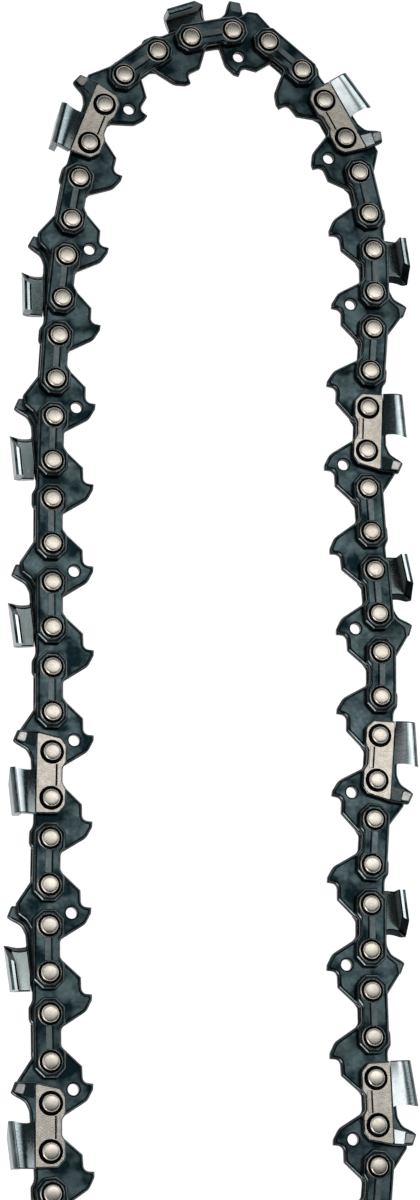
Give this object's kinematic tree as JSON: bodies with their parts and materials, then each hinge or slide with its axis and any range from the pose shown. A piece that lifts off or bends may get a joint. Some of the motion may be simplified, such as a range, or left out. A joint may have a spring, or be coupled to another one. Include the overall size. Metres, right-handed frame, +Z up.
{
  "type": "chainsaw chain loop",
  "caption": "Endless chainsaw chain lying on its side: drive links with tangs inside, tie straps and alternating left and right cutters outside, all pivoting on rivets.",
  "frame": {"origin": "middle of the loop, on the surface that the chain lies on", "axes": "+Z up out of the chain's plane, +Y along the loop's length towards its top bend, +X across it"},
  "size_m": [0.0808, 0.2813, 0.0064],
  "materials": {
    "drive_link_steel": "blued",
    "strap_steel": "blued",
    "cutter_steel": "ground and plated"
  },
  "bodies": {
    "lower_run": {"lower_drive_links": "drive_link_steel", "lower_tie_straps": "strap_steel", "lower_cutters": "cutter_steel"},
    "cutter_left_23": {"cutter_left_23": "cutter_steel"},
    "bumper_link_23": {"bumper_link_23": "drive_link_steel"},
    "tie_strap_pair_24": {"tie_strap_pair_24": "strap_steel"},
    "drive_link_24": {"drive_link_24": "drive_link_steel"},
    "cutter_right_25": {"cutter_right_25": "cutter_steel"},
    "bumper_link_25": {"bumper_link_25": "drive_link_steel"},
    "tie_strap_pair_26": {"tie_strap_pair_26": "strap_steel"},
    "drive_link_26": {"drive_link_26": "drive_link_steel"},
    "cutter_left_27": {"cutter_left_27": "cutter_steel"},
    "bumper_link_27": {"bumper_link_27": "drive_link_steel"},
    "tie_strap_pair_28": {"tie_strap_pair_28": "strap_steel"},
    "drive_link_28": {"drive_link_28": "drive_link_steel"},
    "cutter_right_29": {"cutter_right_29": "cutter_steel"},
    "bumper_link_29": {"bumper_link_29": "drive_link_steel"},
    "tie_strap_pair_30": {"tie_strap_pair_30": "strap_steel"},
    "drive_link_30": {"drive_link_30": "drive_link_steel"},
    "cutter_right_31": {"cutter_right_31": "cutter_steel"},
    "bumper_link_31": {"bumper_link_31": "drive_link_steel"},
    "tie_strap_pair_32": {"tie_strap_pair_32": "strap_steel"},
    "drive_link_32": {"drive_link_32": "drive_link_steel"},
    "cutter_right_33": {"cutter_right_33": "cutter_steel"},
    "bumper_link_33": {"bumper_link_33": "drive_link_steel"},
    "tie_strap_pair_34": {"tie_strap_pair_34": "strap_steel"},
    "drive_link_34": {"drive_link_34": "drive_link_steel"},
    "cutter_left_35": {"cutter_left_35": "cutter_steel"},
    "bumper_link_35": {"bumper_link_35": "drive_link_steel"},
    "tie_strap_pair_36": {"tie_strap_pair_36": "strap_steel"},
    "drive_link_36": {"drive_link_36": "drive_link_steel"},
    "cutter_right_01": {"cutter_right_01": "cutter_steel"},
    "cutter_left_15": {"cutter_left_15": "cutter_steel"},
    "drive_link_14": {"drive_link_14": "drive_link_steel"},
    "tie_strap_pair_14": {"tie_strap_pair_14": "strap_steel"},
    "bumper_link_13": {"bumper_link_13": "drive_link_steel"},
    "cutter_right_13": {"cutter_right_13": "cutter_steel"},
    "drive_link_12": {"drive_link_12": "drive_link_steel"},
    "tie_strap_pair_12": {"tie_strap_pair_12": "strap_steel"},
    "bumper_link_11": {"bumper_link_11": "drive_link_steel"},
    "cutter_left_11": {"cutter_left_11": "cutter_steel"},
    "drive_link_10": {"drive_link_10": "drive_link_steel"},
    "tie_strap_pair_10": {"tie_strap_pair_10": "strap_steel"},
    "bumper_link_09": {"bumper_link_09": "drive_link_steel"},
    "cutter_right_09": {"cutter_right_09": "cutter_steel"},
    "drive_link_08": {"drive_link_08": "drive_link_steel"},
    "tie_strap_pair_08": {"tie_strap_pair_08": "strap_steel"},
    "bumper_link_07": {"bumper_link_07": "drive_link_steel"},
    "cutter_left_07": {"cutter_left_07": "cutter_steel"},
    "drive_link_06": {"drive_link_06": "drive_link_steel"},
    "tie_strap_pair_06": {"tie_strap_pair_06": "strap_steel"},
    "bumper_link_05": {"bumper_link_05": "drive_link_steel"},
    "cutter_right_05": {"cutter_right_05": "cutter_steel"},
    "drive_link_04": {"drive_link_04": "drive_link_steel"},
    "tie_strap_pair_04": {"tie_strap_pair_04": "strap_steel"},
    "bumper_link_03": {"bumper_link_03": "drive_link_steel"},
    "cutter_left_03": {"cutter_left_03": "cutter_steel"},
    "drive_link_02": {"drive_link_02": "drive_link_steel"},
    "tie_strap_pair_02": {"tie_strap_pair_02": "strap_steel"},
    "bumper_link_01": {"bumper_link_01": "drive_link_steel"}
  },
  "joints": [
    {"name": "rivet_23_back", "type": "hinge", "parent": "lower_run", "child": "cutter_left_23", "pos_m": [-0.03103, -0.09114, 0.0032], "axis": [0, 0, 1], "range_deg": [-3.15, 3.15]},
    {"name": "rivet_23_front", "type": "hinge", "parent": "cutter_left_23", "child": "bumper_link_23", "pos_m": [-0.03111, -0.0823, 0.0032], "axis": [0, 0, 1], "range_deg": [-3.34, 3.34]},
    {"name": "rivet_24_back", "type": "hinge", "parent": "bumper_link_23", "child": "tie_strap_pair_24", "pos_m": [-0.03122, -0.07463, 0.0032], "axis": [0, 0, 1], "range_deg": [-3.5, 3.5]},
    {"name": "rivet_24_front", "type": "hinge", "parent": "tie_strap_pair_24", "child": "drive_link_24", "pos_m": [-0.03144, -0.0658, 0.0032], "axis": [0, 0, 1], "range_deg": [-3.66, 3.66]},
    {"name": "rivet_25_back", "type": "hinge", "parent": "drive_link_24", "child": "cutter_right_25", "pos_m": [-0.03164, -0.05813, 0.0032], "axis": [0, 0, 1], "range_deg": [-3.73, 3.73]},
    {"name": "rivet_25_front", "type": "hinge", "parent": "cutter_right_25", "child": "bumper_link_25", "pos_m": [-0.0318, -0.04929, 0.0032], "axis": [0, 0, 1], "range_deg": [-3.67, 3.67]},
    {"name": "rivet_26_back", "type": "hinge", "parent": "bumper_link_25", "child": "tie_strap_pair_26", "pos_m": [-0.03183, -0.04162, 0.0032], "axis": [0, 0, 1], "range_deg": [-4.6, 4.6]},
    {"name": "rivet_26_front", "type": "hinge", "parent": "tie_strap_pair_26", "child": "drive_link_26", "pos_m": [-0.03177, -0.03278, 0.0032], "axis": [0, 0, 1], "range_deg": [-4.62, 4.62]},
    {"name": "rivet_27_back", "type": "hinge", "parent": "drive_link_26", "child": "cutter_left_27", "pos_m": [-0.03168, -0.02511, 0.0032], "axis": [0, 0, 1], "range_deg": [-4.5, 4.5]},
    {"name": "rivet_27_front", "type": "hinge", "parent": "cutter_left_27", "child": "bumper_link_27", "pos_m": [-0.03161, -0.01627, 0.0032], "axis": [0, 0, 1], "range_deg": [-4.29, 4.29]},
    {"name": "rivet_28_back", "type": "hinge", "parent": "bumper_link_27", "child": "tie_strap_pair_28", "pos_m": [-0.03161, -0.0086, 0.0032], "axis": [0, 0, 1], "range_deg": [-4.13, 4.13]},
    {"name": "rivet_28_front", "type": "hinge", "parent": "tie_strap_pair_28", "child": "drive_link_28", "pos_m": [-0.03168, 0.00024, 0.0032], "axis": [0, 0, 1], "range_deg": [-3.98, 3.98]},
    {"name": "rivet_29_back", "type": "hinge", "parent": "drive_link_28", "child": "cutter_right_29", "pos_m": [-0.03178, 0.00791, 0.0032], "axis": [0, 0, 1], "range_deg": [-3.9, 3.9]},
    {"name": "rivet_29_front", "type": "hinge", "parent": "cutter_right_29", "child": "bumper_link_29", "pos_m": [-0.0319, 0.01675, 0.0032], "axis": [0, 0, 1], "range_deg": [-3.84, 3.84]},
    {"name": "rivet_30_back", "type": "hinge", "parent": "bumper_link_29", "child": "tie_strap_pair_30", "pos_m": [-0.032, 0.02442, 0.0032], "axis": [0, 0, 1], "range_deg": [-3.82, 3.82]},
    {"name": "rivet_30_front", "type": "hinge", "parent": "tie_strap_pair_30", "child": "drive_link_30", "pos_m": [-0.03207, 0.03326, 0.0032], "axis": [0, 0, 1], "range_deg": [-3.8, 3.8]},
    {"name": "rivet_31_back", "type": "hinge", "parent": "drive_link_30", "child": "cutter_right_31", "pos_m": [-0.03205, 0.04093, 0.0032], "axis": [0, 0, 1], "range_deg": [-3.77, 3.77]},
    {"name": "rivet_31_front", "type": "hinge", "parent": "cutter_right_31", "child": "bumper_link_31", "pos_m": [-0.0319, 0.04976, 0.0032], "axis": [0, 0, 1], "range_deg": [-4.33, 4.33]},
    {"name": "rivet_32_back", "type": "hinge", "parent": "bumper_link_31", "child": "tie_strap_pair_32", "pos_m": [-0.03163, 0.05743, 0.0032], "axis": [0, 0, 1], "range_deg": [-4.25, 4.25]},
    {"name": "rivet_32_front", "type": "hinge", "parent": "tie_strap_pair_32", "child": "drive_link_32", "pos_m": [-0.03114, 0.06626, 0.0032], "axis": [0, 0, 1], "range_deg": [-4.08, 4.08]},
    {"name": "rivet_33_back", "type": "hinge", "parent": "drive_link_32", "child": "cutter_right_33", "pos_m": [-0.03058, 0.07391, 0.0032], "axis": [0, 0, 1], "range_deg": [-3.94, 3.94]},
    {"name": "rivet_33_front", "type": "hinge", "parent": "cutter_right_33", "child": "bumper_link_33", "pos_m": [-0.02976, 0.08271, 0.0032], "axis": [0, 0, 1], "range_deg": [-3.86, 3.86]},
    {"name": "rivet_34_back", "type": "hinge", "parent": "bumper_link_33", "child": "tie_strap_pair_34", "pos_m": [-0.02885, 0.09032, 0.0032], "axis": [0, 0, 1], "range_deg": [-3.9, 3.9]},
    {"name": "rivet_34_front", "type": "hinge", "parent": "tie_strap_pair_34", "child": "drive_link_34", "pos_m": [-0.02736, 0.09904, 0.0032], "axis": [0, 0, 1], "range_deg": [-4.07, 4.07]},
    {"name": "rivet_35_back", "type": "hinge", "parent": "drive_link_34", "child": "cutter_left_35", "pos_m": [-0.02549, 0.10648, 0.0032], "axis": [0, 0, 1], "range_deg": [-2.04, 2.04]},
    {"name": "rivet_35_front", "type": "hinge", "parent": "cutter_left_35", "child": "bumper_link_35", "pos_m": [-0.02246, 0.11478, 0.0032], "axis": [0, 0, 1], "range_deg": [-1.73, 1.73]},
    {"name": "rivet_36_back", "type": "hinge", "parent": "bumper_link_35", "child": "tie_strap_pair_36", "pos_m": [-0.01852, 0.12136, 0.0032], "axis": [0, 0, 1], "range_deg": [-1.54, 1.54]},
    {"name": "rivet_36_front", "type": "hinge", "parent": "tie_strap_pair_36", "child": "drive_link_36", "pos_m": [-0.01171, 0.127, 0.0032], "axis": [0, 0, 1], "range_deg": [-1.52, 1.52]},
    {"name": "rivet_01_back", "type": "hinge", "parent": "drive_link_36", "child": "cutter_right_01", "pos_m": [-0.0049, 0.13053, 0.0032], "axis": [0, 0, 1], "range_deg": [-1.75, 1.75]},
    {"name": "rivet_15_front", "type": "hinge", "parent": "lower_run", "child": "cutter_left_15", "pos_m": [0.03144, -0.08552, 0.0032], "axis": [0, 0, 1], "range_deg": [-3.86, 3.86]},
    {"name": "rivet_15_back", "type": "hinge", "parent": "cutter_left_15", "child": "drive_link_14", "pos_m": [0.0311, -0.07669, 0.0032], "axis": [0, 0, 1], "range_deg": [-3.98, 3.98]},
    {"name": "rivet_14_front", "type": "hinge", "parent": "drive_link_14", "child": "tie_strap_pair_14", "pos_m": [0.03079, -0.06903, 0.0032], "axis": [0, 0, 1], "range_deg": [-4.07, 4.07]},
    {"name": "rivet_14_back", "type": "hinge", "parent": "tie_strap_pair_14", "child": "bumper_link_13", "pos_m": [0.03054, -0.06019, 0.0032], "axis": [0, 0, 1], "range_deg": [-4.14, 4.14]},
    {"name": "rivet_13_front", "type": "hinge", "parent": "bumper_link_13", "child": "cutter_right_13", "pos_m": [0.03045, -0.05252, 0.0032], "axis": [0, 0, 1], "range_deg": [-4.16, 4.16]},
    {"name": "rivet_13_back", "type": "hinge", "parent": "cutter_right_13", "child": "drive_link_12", "pos_m": [0.03054, -0.04368, 0.0032], "axis": [0, 0, 1], "range_deg": [-4.16, 4.16]},
    {"name": "rivet_12_front", "type": "hinge", "parent": "drive_link_12", "child": "tie_strap_pair_12", "pos_m": [0.03082, -0.03602, 0.0032], "axis": [0, 0, 1], "range_deg": [-3.83, 3.83]},
    {"name": "rivet_12_back", "type": "hinge", "parent": "tie_strap_pair_12", "child": "bumper_link_11", "pos_m": [0.0314, -0.0272, 0.0032], "axis": [0, 0, 1], "range_deg": [-4.01, 4.01]},
    {"name": "rivet_11_front", "type": "hinge", "parent": "bumper_link_11", "child": "cutter_left_11", "pos_m": [0.032, -0.01955, 0.0032], "axis": [0, 0, 1], "range_deg": [-4.23, 4.23]},
    {"name": "rivet_11_back", "type": "hinge", "parent": "cutter_left_11", "child": "drive_link_10", "pos_m": [0.03265, -0.01073, 0.0032], "axis": [0, 0, 1], "range_deg": [-4.4, 4.4]},
    {"name": "rivet_10_front", "type": "hinge", "parent": "drive_link_10", "child": "tie_strap_pair_10", "pos_m": [0.03303, -0.00307, 0.0032], "axis": [0, 0, 1], "range_deg": [-4.42, 4.42]},
    {"name": "rivet_10_back", "type": "hinge", "parent": "tie_strap_pair_10", "child": "bumper_link_09", "pos_m": [0.0331, 0.00577, 0.0032], "axis": [0, 0, 1], "range_deg": [-4.32, 4.32]},
    {"name": "rivet_09_front", "type": "hinge", "parent": "bumper_link_09", "child": "cutter_right_09", "pos_m": [0.03276, 0.01343, 0.0032], "axis": [0, 0, 1], "range_deg": [-4.18, 4.18]},
    {"name": "rivet_09_back", "type": "hinge", "parent": "cutter_right_09", "child": "drive_link_08", "pos_m": [0.03208, 0.02224, 0.0032], "axis": [0, 0, 1], "range_deg": [-4.03, 4.03]},
    {"name": "rivet_08_front", "type": "hinge", "parent": "drive_link_08", "child": "tie_strap_pair_08", "pos_m": [0.03144, 0.02989, 0.0032], "axis": [0, 0, 1], "range_deg": [-3.93, 3.93]},
    {"name": "rivet_08_back", "type": "hinge", "parent": "tie_strap_pair_08", "child": "bumper_link_07", "pos_m": [0.03086, 0.03871, 0.0032], "axis": [0, 0, 1], "range_deg": [-3.85, 3.85]},
    {"name": "rivet_07_front", "type": "hinge", "parent": "bumper_link_07", "child": "cutter_left_07", "pos_m": [0.03071, 0.04638, 0.0032], "axis": [0, 0, 1], "range_deg": [-3.88, 3.88]},
    {"name": "rivet_07_back", "type": "hinge", "parent": "cutter_left_07", "child": "drive_link_06", "pos_m": [0.03106, 0.05521, 0.0032], "axis": [0, 0, 1], "range_deg": [-3.79, 3.79]},
    {"name": "rivet_06_front", "type": "hinge", "parent": "drive_link_06", "child": "tie_strap_pair_06", "pos_m": [0.03163, 0.06286, 0.0032], "axis": [0, 0, 1], "range_deg": [-3.73, 3.73]},
    {"name": "rivet_06_back", "type": "hinge", "parent": "tie_strap_pair_06", "child": "bumper_link_05", "pos_m": [0.0323, 0.07167, 0.0032], "axis": [0, 0, 1], "range_deg": [-3.87, 3.87]},
    {"name": "rivet_05_front", "type": "hinge", "parent": "bumper_link_05", "child": "cutter_right_05", "pos_m": [0.03265, 0.07933, 0.0032], "axis": [0, 0, 1], "range_deg": [-4.06, 4.06]},
    {"name": "rivet_05_back", "type": "hinge", "parent": "cutter_right_05", "child": "drive_link_04", "pos_m": [0.03252, 0.08817, 0.0032], "axis": [0, 0, 1], "range_deg": [-4.25, 4.25]},
    {"name": "rivet_04_front", "type": "hinge", "parent": "drive_link_04", "child": "tie_strap_pair_04", "pos_m": [0.03173, 0.0958, 0.0032], "axis": [0, 0, 1], "range_deg": [-4.38, 4.38]},
    {"name": "rivet_04_back", "type": "hinge", "parent": "tie_strap_pair_04", "child": "bumper_link_03", "pos_m": [0.02976, 0.10442, 0.0032], "axis": [0, 0, 1], "range_deg": [-1.81, 1.81]},
    {"name": "rivet_03_front", "type": "hinge", "parent": "bumper_link_03", "child": "cutter_left_03", "pos_m": [0.02697, 0.11157, 0.0032], "axis": [0, 0, 1], "range_deg": [-1.64, 1.64]},
    {"name": "rivet_03_back", "type": "hinge", "parent": "cutter_left_03", "child": "drive_link_02", "pos_m": [0.02264, 0.11927, 0.0032], "axis": [0, 0, 1], "range_deg": [-1.55, 1.55]},
    {"name": "rivet_02_front", "type": "hinge", "parent": "drive_link_02", "child": "tie_strap_pair_02", "pos_m": [0.01801, 0.12539, 0.0032], "axis": [0, 0, 1], "range_deg": [-1.59, 1.59]},
    {"name": "rivet_02_back", "type": "hinge", "parent": "tie_strap_pair_02", "child": "bumper_link_01", "pos_m": [0.01112, 0.13092, 0.0032], "axis": [0, 0, 1], "range_deg": [-1.87, 1.87]}
  ],
  "couplings": [
    {"joint": "rivet_23_front", "follows": "rivet_23_back", "ratio": 1.0595},
    {"joint": "rivet_24_back", "follows": "rivet_23_back", "ratio": 1.1119},
    {"joint": "rivet_24_front", "follows": "rivet_23_back", "ratio": 1.1608},
    {"joint": "rivet_25_back", "follows": "rivet_23_back", "ratio": 1.1824},
    {"joint": "rivet_25_front", "follows": "rivet_23_back", "ratio": 1.1635},
    {"joint": "rivet_26_back", "follows": "rivet_23_back", "ratio": -1.4605},
    {"joint": "rivet_26_front", "follows": "rivet_23_back", "ratio": -1.4676},
    {"joint": "rivet_27_back", "follows": "rivet_23_back", "ratio": -1.4275},
    {"joint": "rivet_27_front", "follows": "rivet_23_back", "ratio": -1.3624},
    {"joint": "rivet_28_back", "follows": "rivet_23_back", "ratio": -1.3098},
    {"joint": "rivet_28_front", "follows": "rivet_23_back", "ratio": -1.2633},
    {"joint": "rivet_29_back", "follows": "rivet_23_back", "ratio": -1.2367},
    {"joint": "rivet_29_front", "follows": "rivet_23_back", "ratio": -1.2197},
    {"joint": "rivet_30_back", "follows": "rivet_23_back", "ratio": -1.2126},
    {"joint": "rivet_30_front", "follows": "rivet_23_back", "ratio": -1.2072},
    {"joint": "rivet_31_back", "follows": "rivet_23_back", "ratio": -1.1977},
    {"joint": "rivet_31_front", "follows": "rivet_23_back", "ratio": 1.3736},
    {"joint": "rivet_32_back", "follows": "rivet_23_back", "ratio": 1.3481},
    {"joint": "rivet_32_front", "follows": "rivet_23_back", "ratio": 1.294},
    {"joint": "rivet_33_back", "follows": "rivet_23_back", "ratio": 1.2507},
    {"joint": "rivet_33_front", "follows": "rivet_23_back", "ratio": 1.2259},
    {"joint": "rivet_34_back", "follows": "rivet_23_back", "ratio": 1.2363},
    {"joint": "rivet_34_front", "follows": "rivet_23_back", "ratio": 1.2926},
    {"joint": "rivet_35_back", "follows": "rivet_23_back", "ratio": -0.6474},
    {"joint": "rivet_35_front", "follows": "rivet_23_back", "ratio": -0.55023},
    {"joint": "rivet_36_back", "follows": "rivet_23_back", "ratio": -0.48973},
    {"joint": "rivet_36_front", "follows": "rivet_23_back", "ratio": -0.48334},
    {"joint": "rivet_01_back", "follows": "rivet_23_back", "ratio": -0.55624},
    {"joint": "rivet_15_front", "follows": "rivet_23_back", "ratio": -1.2245},
    {"joint": "rivet_15_back", "follows": "rivet_23_back", "ratio": -1.265},
    {"joint": "rivet_14_front", "follows": "rivet_23_back", "ratio": -1.2928},
    {"joint": "rivet_14_back", "follows": "rivet_23_back", "ratio": -1.313},
    {"joint": "rivet_13_front", "follows": "rivet_23_back", "ratio": -1.3203},
    {"joint": "rivet_13_back", "follows": "rivet_23_back", "ratio": -1.3214},
    {"joint": "rivet_12_front", "follows": "rivet_23_back", "ratio": 1.2143},
    {"joint": "rivet_12_back", "follows": "rivet_23_back", "ratio": 1.274},
    {"joint": "rivet_11_front", "follows": "rivet_23_back", "ratio": 1.3423},
    {"joint": "rivet_11_back", "follows": "rivet_23_back", "ratio": 1.3968},
    {"joint": "rivet_10_front", "follows": "rivet_23_back", "ratio": 1.4041},
    {"joint": "rivet_10_back", "follows": "rivet_23_back", "ratio": 1.3703},
    {"joint": "rivet_09_front", "follows": "rivet_23_back", "ratio": 1.326},
    {"joint": "rivet_09_back", "follows": "rivet_23_back", "ratio": 1.2788},
    {"joint": "rivet_08_front", "follows": "rivet_23_back", "ratio": 1.2462},
    {"joint": "rivet_08_back", "follows": "rivet_23_back", "ratio": 1.2215},
    {"joint": "rivet_07_front", "follows": "rivet_23_back", "ratio": 1.2308},
    {"joint": "rivet_07_back", "follows": "rivet_23_back", "ratio": -1.2024},
    {"joint": "rivet_06_front", "follows": "rivet_23_back", "ratio": -1.1842},
    {"joint": "rivet_06_back", "follows": "rivet_23_back", "ratio": -1.2277},
    {"joint": "rivet_05_front", "follows": "rivet_23_back", "ratio": -1.2876},
    {"joint": "rivet_05_back", "follows": "rivet_23_back", "ratio": -1.3483},
    {"joint": "rivet_04_front", "follows": "rivet_23_back", "ratio": -1.3889},
    {"joint": "rivet_04_back", "follows": "rivet_23_back", "ratio": 0.57449},
    {"joint": "rivet_03_front", "follows": "rivet_23_back", "ratio": 0.52158},
    {"joint": "rivet_03_back", "follows": "rivet_23_back", "ratio": 0.49214},
    {"joint": "rivet_02_front", "follows": "rivet_23_back", "ratio": 0.50614},
    {"joint": "rivet_02_back", "follows": "rivet_23_back", "ratio": 0.59427}
  ]
}
